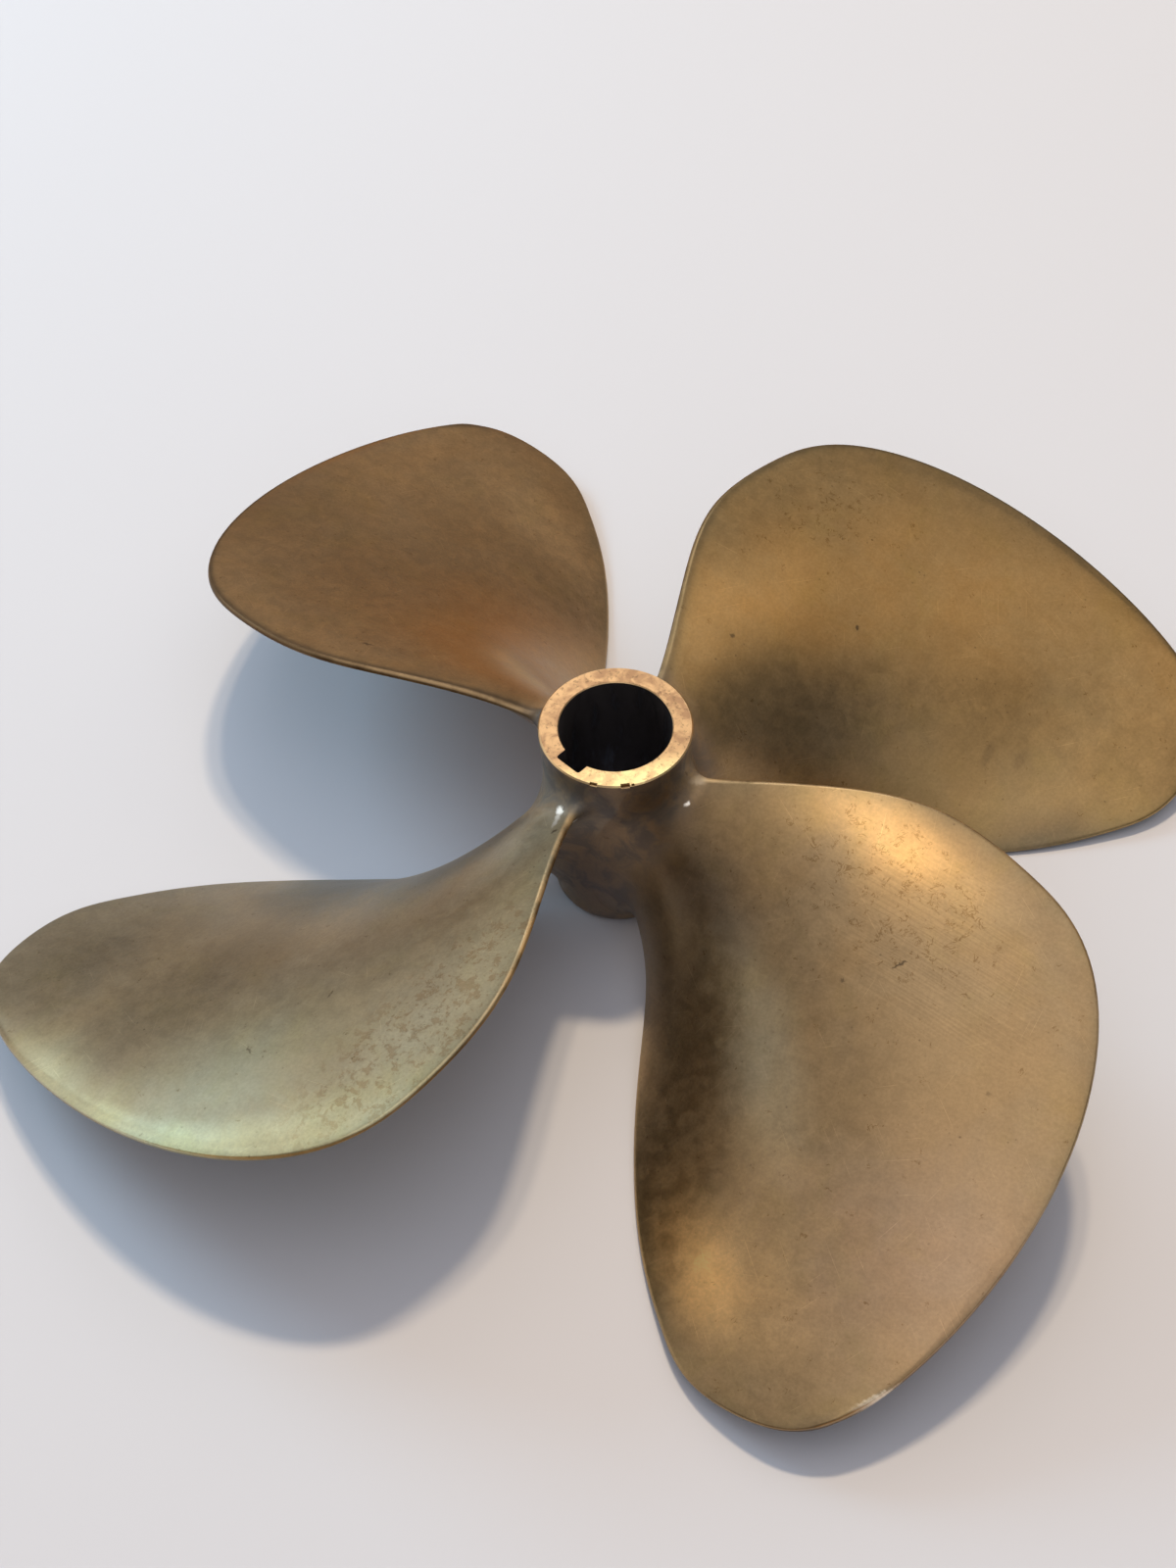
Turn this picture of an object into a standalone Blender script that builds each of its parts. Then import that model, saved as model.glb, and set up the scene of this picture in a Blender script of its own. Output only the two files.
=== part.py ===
"""Right-hand ship propeller with four blades, one bronze casting.

The shaft axis is +Z and the origin is the centre of the small aft face of the hub, on which
the propeller stands. The large forward end is up, so the blades show their cambered backs.
Units are metres.
"""
import math

import bpy
import numpy as np

INCH = 0.0254

# Whole propeller
BLADE_COUNT = 4
DIAMETER = 22 * INCH
PITCH = 20 * INCH
FIRST_BLADE_TURN = math.radians(51)  # keeps the gaps between the blades along X and Y

# Hub
HUB_LENGTH = 4 * INCH
HUB_FORE_DIAMETER = 0.0645
HUB_AFT_DIAMETER = 0.0575
HUB_AFT_ROUND = 0.004
HUB_FORE_CHAMFER = 0.0006
HUB_SIDES = 72

# Tapered bore and its keyway, which was cut a little past the middle of one blade
BORE_FORE_DIAMETER = 1.875 * INCH
SHAFT_TAPER = 1 / 16  # loss of diameter along the length
KEY_WIDTH = 0.5 * INCH
KEY_DEPTH = 0.0047  # from the bore's wall
KEY_BLADE = 3
KEY_OFFSET = math.radians(4.5)
CUT_PAST = 0.002  # how far a cutter runs past the hub's faces

# Blades
BLADE_WIDTH = 0.2275  # widest chord, along the helix
TIP_SKEW = 0.1255  # how far the tip trails the reference line
BLADE_RISE = 0.0056  # of the reference line over the hub's middle
ROOT_THICKNESS = 0.018
TIP_THICKNESS = 0.004
EDGE_THICKNESS = 0.0026
ROOT_FILLET = 0.012
FILLET_SINK = 0.0004  # the fillet ends this far under the hub's surface
ROOT_DEPTH = 0.0025  # how far a blade's solid runs on into the hub's wall

# Form of the blade's outline at shares of the tip radius: the half chord before the tip is
# rounded off, and the mid-chord's distance behind the reference line
STATIONS = (0.10, 0.20, 0.35, 0.50, 0.65, 0.80, 0.90, 1.00)
FULLNESS = (0.33, 0.44, 0.71, 1.02, 1.33, 1.65, 1.66, 1.28)
SKEW = (0.045, 0.03, 0.055, 0.105, 0.20, 0.37, 0.64, 1.00)

# Mesh density of a blade
FILLET_RINGS = 5
SPAN_RINGS = 18
CHORD_STEPS = 20

TIP_RADIUS = DIAMETER / 2
LEAD = PITCH / (2 * math.pi)  # rise of the helix for each radian
HUB_MEAN_RADIUS = (HUB_FORE_DIAMETER + HUB_AFT_DIAMETER) / 4
BLADE_HEIGHT = HUB_LENGTH / 2 + BLADE_RISE


def natural_spline(stations, values):
    """Second derivatives of the smooth curve through the points, zero at both ends."""
    gap = np.diff(stations)
    slope = np.diff(values) / gap
    count = len(stations)
    matrix = np.eye(count)
    right = np.zeros(count)
    for i in range(1, count - 1):
        matrix[i, i - 1:i + 2] = gap[i - 1], 2 * (gap[i - 1] + gap[i]), gap[i]
        right[i] = 6 * (slope[i] - slope[i - 1])
    return np.linalg.solve(matrix, right)


def smooth_value(stations, values, bend, x):
    """Value at x of the smooth curve through the points."""
    i = int(np.clip(np.searchsorted(stations, x) - 1, 0, len(stations) - 2))
    gap = stations[i + 1] - stations[i]
    a = (stations[i + 1] - x) / gap
    b = (x - stations[i]) / gap
    curve = (a ** 3 - a) * bend[i] + (b ** 3 - b) * bend[i + 1]
    return a * values[i] + b * values[i + 1] + curve * gap ** 2 / 6


FULLNESS_BEND = natural_spline(STATIONS, FULLNESS)
SKEW_BEND = natural_spline(STATIONS, SKEW)


def chord_share(x):
    """Half chord at the share x of the tip radius, before it is scaled to the blade's width."""
    return math.sqrt(max(0.0, 1 - x * x)) * smooth_value(STATIONS, FULLNESS, FULLNESS_BEND, x)


WIDEST_SHARE = max(chord_share(x) for x in np.linspace(STATIONS[0], 1, 200))


def half_chord(radius):
    return BLADE_WIDTH / 2 * chord_share(radius / TIP_RADIUS) / WIDEST_SHARE


def mid_chord(radius):
    return -TIP_SKEW * smooth_value(STATIONS, SKEW, SKEW_BEND, radius / TIP_RADIUS)


def hub_radius(z):
    """Radius of the hub's tapered side at a height."""
    share = z / HUB_LENGTH
    return (HUB_AFT_DIAMETER + (HUB_FORE_DIAMETER - HUB_AFT_DIAMETER) * share) / 2


def bore_radius(z):
    return (BORE_FORE_DIAMETER - SHAFT_TAPER * (HUB_LENGTH - z)) / 2


def on_helix(radius, along, lift):
    """Point at a distance along the helix from the reference line, lifted off the helix."""
    angle = math.atan2(LEAD, radius)
    turn = (along * math.cos(angle) - lift * math.sin(angle)) / radius
    z = BLADE_HEIGHT + along * math.sin(angle) + lift * math.cos(angle)
    return radius * math.cos(turn), radius * math.sin(turn), z


def fillet_flare(clear):
    """How much a root fillet adds to each side of a blade, this far out from the hub."""
    short = min(max(ROOT_FILLET - clear, 0.0), ROOT_FILLET)
    return ROOT_FILLET - math.sqrt(ROOT_FILLET ** 2 - short ** 2)


def blade_radii():
    """Radii of a blade's sections, close together in the fillet and at the tip."""
    fillet_start = HUB_MEAN_RADIUS - FILLET_SINK
    radii = [fillet_start - ROOT_DEPTH]
    for i in range(FILLET_RINGS):
        turn = math.pi / 2 * i / FILLET_RINGS
        radii.append(fillet_start + ROOT_FILLET * (1 - math.cos(turn)))
    span = TIP_RADIUS - fillet_start - ROOT_FILLET
    for i in range(SPAN_RINGS):
        radii.append(fillet_start + ROOT_FILLET + span * math.sin(math.pi / 2 * i / SPAN_RINGS))
    return radii


def beside_hub(radius, along, lift):
    """Point of a section, which follows the hub's taper where it is near the hub."""
    far = (radius - HUB_MEAN_RADIUS - ROOT_FILLET) / (2 * ROOT_FILLET)
    near = 1 - min(max(far, 0.0), 1.0)
    height = on_helix(radius, along, lift)[2]
    return on_helix(radius + near * (hub_radius(height) - HUB_MEAN_RADIUS), along, lift)


def section(radius):
    """One closed section: the back from the trailing to the leading edge, then the face."""
    clear = radius - HUB_MEAN_RADIUS
    flare = fillet_flare(clear + FILLET_SINK)
    half = half_chord(radius) + flare
    middle = mid_chord(radius)
    share = min(max(clear / (TIP_RADIUS - HUB_MEAN_RADIUS), 0.0), 1.0)
    thickness = ROOT_THICKNESS + (TIP_THICKNESS - ROOT_THICKNESS) * share
    edge_half = EDGE_THICKNESS / 2 + flare
    crown = max(thickness - EDGE_THICKNESS, 0.0)
    back = []
    face = []
    for i in range(CHORD_STEPS + 1):
        place = -math.cos(math.pi * i / CHORD_STEPS)
        inset = min((1 - abs(place)) * half, TIP_RADIUS - radius)
        short = max(1 - inset / edge_half, 0.0)
        rounding = edge_half * math.sqrt(1 - short ** 2)
        along = middle + place * half
        back.append(beside_hub(radius, along, rounding + crown * (1 - place ** 2)))
        if 0 < i < CHORD_STEPS:
            face.append(beside_hub(radius, along, -rounding))
    return back + face[::-1]


def blade_mesh():
    points = []
    for radius in blade_radii():
        points += section(radius)
    per_ring = 2 * CHORD_STEPS
    rings = len(points) // per_ring
    faces = [tuple(range(per_ring))]
    for ring in range(rings - 1):
        low = ring * per_ring
        for i in range(per_ring):
            j = (i + 1) % per_ring
            faces.append((low + i, low + per_ring + i, low + per_ring + j, low + j))
    tip = len(points)
    points.append(on_helix(TIP_RADIUS, mid_chord(TIP_RADIUS), 0.0))
    last = (rings - 1) * per_ring
    for i in range(per_ring):
        faces.append((last + i, tip, last + (i + 1) % per_ring))
    mesh = bpy.data.meshes.new("blade")
    mesh.from_pydata(points, [], faces)
    return mesh


def turned(name, profile):
    """Mesh of a closed solid turned from (radius, height) points, from the bottom up."""
    points = []
    faces = []
    for radius, z in profile:
        for i in range(HUB_SIDES):
            turn = 2 * math.pi * i / HUB_SIDES
            points.append((radius * math.cos(turn), radius * math.sin(turn), z))
    for ring in range(len(profile) - 1):
        low = ring * HUB_SIDES
        for i in range(HUB_SIDES):
            j = (i + 1) % HUB_SIDES
            faces.append((low + i, low + j, low + HUB_SIDES + j, low + HUB_SIDES + i))
    faces.append(tuple(reversed(range(HUB_SIDES))))
    faces.append(tuple(range(len(points) - HUB_SIDES, len(points))))
    mesh = bpy.data.meshes.new(name)
    mesh.from_pydata(points, [], faces)
    return mesh


def hub_profile():
    """Side of the hub from its aft face to its forward face."""
    side = hub_radius(HUB_AFT_ROUND)
    points = []
    for i in range(5):
        turn = math.pi / 2 * i / 4
        out = side - HUB_AFT_ROUND * (1 - math.sin(turn))
        points.append((out, HUB_AFT_ROUND * (1 - math.cos(turn))))
    fore = hub_radius(HUB_LENGTH)
    points.append((fore, HUB_LENGTH - HUB_FORE_CHAMFER))
    points.append((fore - HUB_FORE_CHAMFER, HUB_LENGTH))
    return points


def bore_profile():
    return [(bore_radius(z), z) for z in (-CUT_PAST, HUB_LENGTH + CUT_PAST)]


def keyway_mesh():
    """Bar along +X whose outer side follows the bore's taper."""
    points = []
    for z in (-CUT_PAST, HUB_LENGTH + CUT_PAST):
        for x in (0.0, bore_radius(z) + KEY_DEPTH):
            for y in (-KEY_WIDTH / 2, KEY_WIDTH / 2):
                points.append((x, y, z))
    faces = [(0, 1, 3, 2), (4, 6, 7, 5), (0, 2, 6, 4), (1, 5, 7, 3), (0, 4, 5, 1), (2, 3, 7, 6)]
    mesh = bpy.data.meshes.new("keyway")
    mesh.from_pydata(points, [], faces)
    return mesh


def add_object(name, mesh, turn=0.0):
    item = bpy.data.objects.new(name, mesh)
    item.rotation_euler.z = turn
    bpy.context.scene.collection.objects.link(item)
    return item


def as_guide(item):
    """A guide or cutter is drawn as wire and isn't a part."""
    item.hide_render = True
    item.display_type = "WIRE"
    return item


def add_boolean(item, other, operation):
    step = item.modifiers.new(other.name, "BOOLEAN")
    step.operation = operation
    step.solver = "EXACT"
    step.object = other


def bronze():
    material = bpy.data.materials.new("aged_bronze")
    material.use_nodes = True
    shader = material.node_tree.nodes["Principled BSDF"]
    shader.inputs["Base Color"].default_value = (0.33, 0.22, 0.10, 1)
    shader.inputs["Metallic"].default_value = 1.0
    shader.inputs["Roughness"].default_value = 0.42
    return material


def build():
    for item in list(bpy.data.objects):
        bpy.data.objects.remove(item)
    hub = turned("hub", hub_profile())
    hub.materials.append(bronze())
    hub.shade_smooth()
    hub.set_sharp_from_angle(angle=math.radians(35))
    casting = add_object("propeller_casting", hub)
    blade = blade_mesh()
    blade.shade_smooth()
    for i in range(BLADE_COUNT):
        turn = FIRST_BLADE_TURN + 2 * math.pi * i / BLADE_COUNT
        add_boolean(casting, as_guide(add_object(f"blade_{i + 1}", blade, turn)), "UNION")
        if i + 1 == KEY_BLADE:
            key = as_guide(add_object("keyway_cutter", keyway_mesh(), turn + KEY_OFFSET))
    bore = as_guide(add_object("bore_cutter", turned("bore", bore_profile())))
    add_boolean(casting, bore, "DIFFERENCE")
    add_boolean(casting, key, "DIFFERENCE")


build()
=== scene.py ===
"""Looks of the right-hand four-bladed ship propeller, one aged bronze casting.

One fine mesh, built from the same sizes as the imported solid, stands for the casting. It has
the rounded root fillets, the machined forward ring, the tapered bore with its keyway, and the
dents and nicks of the real one. Units are metres, +Z runs up the shaft axis, and the origin is
the centre of the hub's aft face, on which the propeller stands.
"""
import math

import bmesh
import bpy
import numpy as np
from mathutils import Matrix, Vector, noise


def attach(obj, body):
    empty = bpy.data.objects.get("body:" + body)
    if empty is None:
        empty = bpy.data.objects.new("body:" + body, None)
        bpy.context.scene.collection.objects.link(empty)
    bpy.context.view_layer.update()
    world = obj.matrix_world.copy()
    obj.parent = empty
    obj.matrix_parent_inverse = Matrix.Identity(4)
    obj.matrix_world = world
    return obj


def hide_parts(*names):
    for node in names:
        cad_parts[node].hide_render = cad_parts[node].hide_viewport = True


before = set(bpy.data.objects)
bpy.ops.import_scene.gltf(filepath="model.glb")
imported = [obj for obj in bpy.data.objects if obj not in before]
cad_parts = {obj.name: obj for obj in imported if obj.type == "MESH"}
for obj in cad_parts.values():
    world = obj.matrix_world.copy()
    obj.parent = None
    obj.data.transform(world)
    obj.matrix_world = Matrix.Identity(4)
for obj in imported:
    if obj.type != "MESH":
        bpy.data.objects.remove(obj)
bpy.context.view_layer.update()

INCH = 0.0254
MM = 0.001

# Whole propeller
BLADE_COUNT = 4
DIAMETER = 22 * INCH
PITCH = 20 * INCH
FIRST_BLADE_TURN = math.radians(51)

# Hub
HUB_LENGTH = 4 * INCH
HUB_FORE_DIAMETER = 0.0645
HUB_AFT_DIAMETER = 0.0575
HUB_AFT_ROUND = 0.004
HUB_FORE_CHAMFER = 0.0006

# Tapered bore and keyway
BORE_FORE_DIAMETER = 1.875 * INCH
SHAFT_TAPER = 1 / 16
BORE_CHAMFER = 0.0004
KEY_WIDTH = 0.5 * INCH
KEY_DEPTH = 0.0047
KEY_BLADE = 3
KEY_OFFSET = math.radians(4.5)
KEY_ROUND = 0.0012  # of its two inner corners
KEY_ROUND_STEPS = 4
CUT_PAST = 0.002

# Blades
BLADE_WIDTH = 0.2275
TIP_SKEW = 0.1255
BLADE_RISE = 0.0056
ROOT_THICKNESS = 0.018
TIP_THICKNESS = 0.004
EDGE_THICKNESS = 0.0026
ROOT_FILLET = 0.012
SKIN_INSET = 0.00005  # keeps the round tips inside the faceted solid's box
STATIONS = (0.10, 0.20, 0.35, 0.50, 0.65, 0.80, 0.90, 1.00)
FULLNESS = (0.33, 0.44, 0.71, 1.02, 1.33, 1.65, 1.66, 1.28)
SKEW = (0.045, 0.03, 0.055, 0.105, 0.20, 0.37, 0.64, 1.00)

# Waviness left by hand grinding
WAVE_LENGTH = 0.045
RIPPLE_LENGTH = 0.016
RIPPLE_SHARE = 0.25
WEAR_DEPTH = 0.0005
WEAR_FADE = 0.010  # distance over which it dies out at edges and at the root
BACK_SEED = 3.7
FACE_SEED = 8.2

# Small rectangular nicks in the forward rim: turn in degrees, width along the rim, depth
NICKS = ((-97.0, 0.0032, 0.0011), (-73.2, 0.0038, 0.0014), (-67.5, 0.0012, 0.0008))

# Mesh density
CHORD_STEPS = 72  # across the blade, on each side
EDGE_STEPS = 16  # of those, how many end on half of the hub's rim at each end of a root
SPAN_RINGS = 84
FILLET_RINGS = 9
HUB_RINGS = 7  # between the fillet's end and the middle between two blades
BORE_SIDES = 160
AFT_ROUND_STEPS = 5
SHARP_ANGLE = math.radians(35)
BLADE_STEP = 1000.0  # added to a point's stated place for each blade's number

TIP_RADIUS = DIAMETER / 2 - SKIN_INSET
LEAD = PITCH / (2 * math.pi)
HUB_MEAN_RADIUS = (HUB_FORE_DIAMETER + HUB_AFT_DIAMETER) / 4
BLADE_HEIGHT = HUB_LENGTH / 2 + BLADE_RISE
QUARTER = 2 * math.pi / BLADE_COUNT

# Camera, fitted to the blades' outlines in the photograph
PHOTO_HEIGHT = 1600
FOCAL_PIXELS = 2302.3
SENSOR = 36.0  # millimetres, along the frame's height
CAMERA_AZIMUTH = math.radians(12.17)
CAMERA_ELEVATION = math.radians(51.94)
CAMERA_ROLL = math.radians(-2.80)
CAMERA_DISTANCE = 0.982
CAMERA_AIM = Vector((-0.0145, 0.0077, 0.050))

# Studio floor and light. A lamp has a name, its degrees from straight up, its turn from the
# camera's right, its width in degrees, its radiance and its colour
FLOOR_REACH = 6.0
FLOOR_GAP = 0.0003  # under the part
FLOOR_COLOR = (0.54, 0.57, 0.68, 1)
FLOOR_FAR_COLOR = (0.34, 0.20, 0.09, 1)
FLOOR_NEAR = (270, 310)  # millimetres either side of the middle
BRIGHT_SIDE = (32, 118)
BRIGHT_SPAN = (0.15, 1.0)
ROOM_DARK = 0.18
ROOM_BRIGHT = 0.5
SOFTBOX_DISTANCE = 2.5
NEUTRAL = (1.0, 0.95, 0.9)
COOL = (0.75, 0.9, 1.0)
WARM = (1.0, 0.7, 0.35)
SOFTBOXES = (("overhead", 0, 0, 50, 0.7, NEUTRAL), ("back", 40, 90, 25, 1.3, NEUTRAL),
             ("front", 38, 255, 30, 0.8, NEUTRAL), ("right_front", 35, 315, 25, 0.7, NEUTRAL),
             ("right", 45, 20, 30, 0.5, WARM), ("window", 60, 138, 20, 1.5, COOL),
             ("left", 75, 172, 40, 0.65, NEUTRAL), ("front_low", 62, 290, 30, 0.6, NEUTRAL))
SUN_DISTANCE = 6.0
SUNLIGHT = (1.0, 0.75, 0.45)
SUNS = (("sun", 25.5, 76, 4.0, 370, SUNLIGHT), ("second_sun", 25, 87, 3.0, 350, SUNLIGHT))
SKY = ("sky", 62, 140, 26.0, 8.5, (0.5, 0.85, 1.0))
SKY_DISTANCE = 2.5


def natural_spline(stations, values):
    """Second derivatives of the smooth curve through the points, zero at both ends."""
    gap = np.diff(stations)
    slope = np.diff(values) / gap
    count = len(stations)
    matrix = np.eye(count)
    right = np.zeros(count)
    for i in range(1, count - 1):
        matrix[i, i - 1:i + 2] = gap[i - 1], 2 * (gap[i - 1] + gap[i]), gap[i]
        right[i] = 6 * (slope[i] - slope[i - 1])
    return np.linalg.solve(matrix, right)


def smooth_value(values, bend, x):
    """Values at x of the smooth curve through the outline's stations."""
    stations = np.array(STATIONS)
    values = np.array(values)
    i = np.clip(np.searchsorted(stations, x) - 1, 0, len(stations) - 2)
    gap = stations[i + 1] - stations[i]
    a = (stations[i + 1] - x) / gap
    b = (x - stations[i]) / gap
    curve = (a ** 3 - a) * bend[i] + (b ** 3 - b) * bend[i + 1]
    return a * values[i] + b * values[i + 1] + curve * gap ** 2 / 6


FULLNESS_BEND = natural_spline(STATIONS, FULLNESS)
SKEW_BEND = natural_spline(STATIONS, SKEW)


def chord_share(x):
    return np.sqrt(np.maximum(0.0, 1 - x * x)) * smooth_value(FULLNESS, FULLNESS_BEND, x)


WIDEST_SHARE = chord_share(np.linspace(STATIONS[0], 1, 200)).max()


def half_chord(radius):
    return BLADE_WIDTH / 2 * chord_share(radius / TIP_RADIUS) / WIDEST_SHARE


def mid_chord(radius):
    return -TIP_SKEW * smooth_value(SKEW, SKEW_BEND, radius / TIP_RADIUS)


def hub_radius(z):
    share = z / HUB_LENGTH
    return (HUB_AFT_DIAMETER + (HUB_FORE_DIAMETER - HUB_AFT_DIAMETER) * share) / 2


def bore_radius(z):
    return (BORE_FORE_DIAMETER - SHAFT_TAPER * (HUB_LENGTH - z)) / 2


def on_helix(radius, along, lift):
    """Turn and height of points along the helix from the reference line, lifted off it."""
    angle = np.arctan2(LEAD, radius)
    turn = (along * np.cos(angle) - lift * np.sin(angle)) / radius
    return turn, BLADE_HEIGHT + along * np.sin(angle) + lift * np.cos(angle)


def fillet_flare(clear):
    short = np.clip(ROOT_FILLET - clear, 0.0, ROOT_FILLET)
    return ROOT_FILLET - np.sqrt(ROOT_FILLET ** 2 - short ** 2)


def wear(radius, along, blade, seed):
    """How far hand grinding went below the true surface at each point of a section, 0 to 1."""
    depth = np.zeros(len(along))
    for i, shift in enumerate(along):
        spot = Vector((radius, shift, blade + seed))
        waves = noise.noise(spot / WAVE_LENGTH) + RIPPLE_SHARE * noise.noise(spot / RIPPLE_LENGTH)
        depth[i] = 0.5 + 0.5 * waves / (1 + RIPPLE_SHARE)
    return depth


def section(radius, blade):
    """Closed section as rows: radius, turn, height, along, distance to each edge, and lift."""
    clear = radius - HUB_MEAN_RADIUS
    flare = fillet_flare(clear)
    half = half_chord(radius) + flare
    middle = mid_chord(radius)
    share = min(max(clear / (TIP_RADIUS - HUB_MEAN_RADIUS), 0.0), 1.0)
    thickness = ROOT_THICKNESS + (TIP_THICKNESS - ROOT_THICKNESS) * share
    edge_half = EDGE_THICKNESS / 2 + flare
    place = -np.cos(np.pi * np.arange(CHORD_STEPS + 1) / CHORD_STEPS)
    inset = np.minimum((1 - np.abs(place)) * half, TIP_RADIUS - radius)
    rounding = edge_half * np.sqrt(1 - np.maximum(1 - inset / edge_half, 0.0) ** 2)
    crown = (thickness - EDGE_THICKNESS) * (1 - place ** 2)
    back = middle + place * half
    inner = slice(CHORD_STEPS - 1, 0, -1)
    face = back[inner]
    fade = np.clip(inset / WEAR_FADE, 0, 1) * min(max((clear - ROOT_FILLET) / WEAR_FADE, 0.0), 1.0)
    worn = WEAR_DEPTH * fade
    upper = rounding + crown - worn * wear(radius, back, blade, BACK_SEED)
    lower = worn[inner] * wear(radius, face, blade, FACE_SEED) - rounding[inner]
    place = np.r_[place, place[inner]]
    lift = np.r_[upper, lower]
    along = np.r_[back, face]
    far = (clear - ROOT_FILLET) / (2 * ROOT_FILLET)
    near = 1 - min(max(far, 0.0), 1.0)
    turn, height = on_helix(radius, along, lift)
    out = radius + near * (hub_radius(height) - HUB_MEAN_RADIUS)
    turn, height = on_helix(out, along, lift)
    to_tip = TIP_RADIUS - radius
    lead = np.minimum((1 - place) * half, to_tip)
    trail = np.minimum((1 + place) * half, to_tip)
    return np.c_[out, turn, height, along, lead, trail, lift]


def blade_sections(blade):
    """Sections from the tip to the end of the root fillet on the hub."""
    start = HUB_MEAN_RADIUS + ROOT_FILLET
    steps = np.arange(SPAN_RINGS - 1, -1, -1) / SPAN_RINGS
    radii = list(start + (TIP_RADIUS - start) * np.sin(np.pi / 2 * steps))
    for i in range(1, FILLET_RINGS + 1):
        radii.append(HUB_MEAN_RADIUS + ROOT_FILLET * (1 - math.sin(math.pi / 2 * i / FILLET_RINGS)))
    return [section(radius, blade) for radius in radii]


def hub_cell():
    """Edge of one blade's share of the hub's side, as (turn, height) rows in a section's order."""
    low = HUB_AFT_ROUND
    high = HUB_LENGTH - HUB_FORE_CHAMFER
    side_steps = CHORD_STEPS - 2 * EDGE_STEPS
    heights = low + (high - low) * np.arange(side_steps + 1) / side_steps
    middle = (heights - BLADE_HEIGHT) / LEAD - ROOT_THICKNESS / 2 / HUB_MEAN_RADIUS
    ends = QUARTER / 2 * np.arange(EDGE_STEPS) / EDGE_STEPS
    up = [np.c_[middle[0] - ends, np.full(EDGE_STEPS, low)]]
    up.append(np.c_[middle - QUARTER / 2, heights])
    up.append(np.c_[middle[-1] - ends[::-1], np.full(EDGE_STEPS, high)])
    down = [np.c_[middle[-1] + ends[1:], np.full(EDGE_STEPS - 1, high)]]
    down.append(np.c_[(middle + QUARTER / 2)[::-1], heights[::-1]])
    down.append(np.c_[middle[0] + ends[:0:-1], np.full(EDGE_STEPS - 1, low)])
    return np.vstack(up + down)


class Skin:
    """Points and faces of the casting, with each point's place on its blade in millimetres."""

    def __init__(self):
        self.points = []
        self.place = []
        self.edge = []
        self.faces = []

    def ring(self, radius, turn, height, along, edges, blade):
        """Adds a ring of points; edges is the distances to the two edges, then the lift."""
        start = len(self.points)
        self.points += list(zip(radius * np.cos(turn), radius * np.sin(turn), height))
        self.place += list(zip(radius / MM, along / MM, np.full(len(radius), BLADE_STEP * blade)))
        self.edge += list(zip(*(value / MM for value in edges)))
        return np.arange(start, start + len(radius))

    def join(self, outer, inner):
        """Quads between two rings, facing away from the inner one's side."""
        count = len(inner)
        for i in range(count):
            j = (i + 1) % count
            self.faces.append((outer[i], outer[j], inner[j], inner[i]))


def build_blade(skin, number, rims):
    """One blade from its tip to its share of the hub, whose end points go into rims."""
    turn_to = FIRST_BLADE_TURN + number * QUARTER
    sections = blade_sections(number)
    tip_turn, tip_height = on_helix(TIP_RADIUS, mid_chord(TIP_RADIUS), 0.0)
    none = np.zeros(1)
    tip = skin.ring(none + TIP_RADIUS, none + tip_turn + turn_to, none + tip_height,
                    none + mid_chord(TIP_RADIUS), (none, none, none), number)[0]
    before = None
    for rows in sections:
        radius, turn, height, along, *edges = rows.T
        ring = skin.ring(radius, turn + turn_to, height, along, edges, number)
        if before is None:
            for i in range(len(ring)):
                skin.faces.append((tip, ring[(i + 1) % len(ring)], ring[i]))
        else:
            skin.join(before, ring)
        before = ring
    inner = sections[-1][:, 1:3]
    outer = hub_cell()
    far = (np.full(len(outer), BLADE_WIDTH),) * 3
    for i in range(1, HUB_RINGS + 1):
        flat = inner + (outer - inner) * i / HUB_RINGS
        ring = skin.ring(hub_radius(flat[:, 1]), flat[:, 0] + turn_to, flat[:, 1],
                         sections[-1][:, 3], far, number)
        skin.join(before, ring)
        before = ring
    top = range(CHORD_STEPS - EDGE_STEPS, CHORD_STEPS + EDGE_STEPS)
    rims["top"] += [before[i] for i in top]
    bottom = range(EDGE_STEPS, -EDGE_STEPS, -1)
    rims["bottom"] += [before[i] for i in bottom]


def close_end(skin, rim, profile, upward):
    """Turned end of the hub beyond a rim: rings of the profile, then one flat face."""
    angles = np.array([math.atan2(skin.points[i][1], skin.points[i][0]) for i in rim])
    before = np.array(rim)
    for radius, z in profile:
        count = len(angles)
        none = np.zeros(count)
        far = (none + BLADE_WIDTH,) * 3
        ring = skin.ring(none + radius, angles, none + z, none, far, -1)
        if upward:
            skin.join(before, ring)
        else:
            skin.join(ring, before)
        before = ring
    skin.faces.append(tuple(before) if upward else tuple(before[::-1]))


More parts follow.
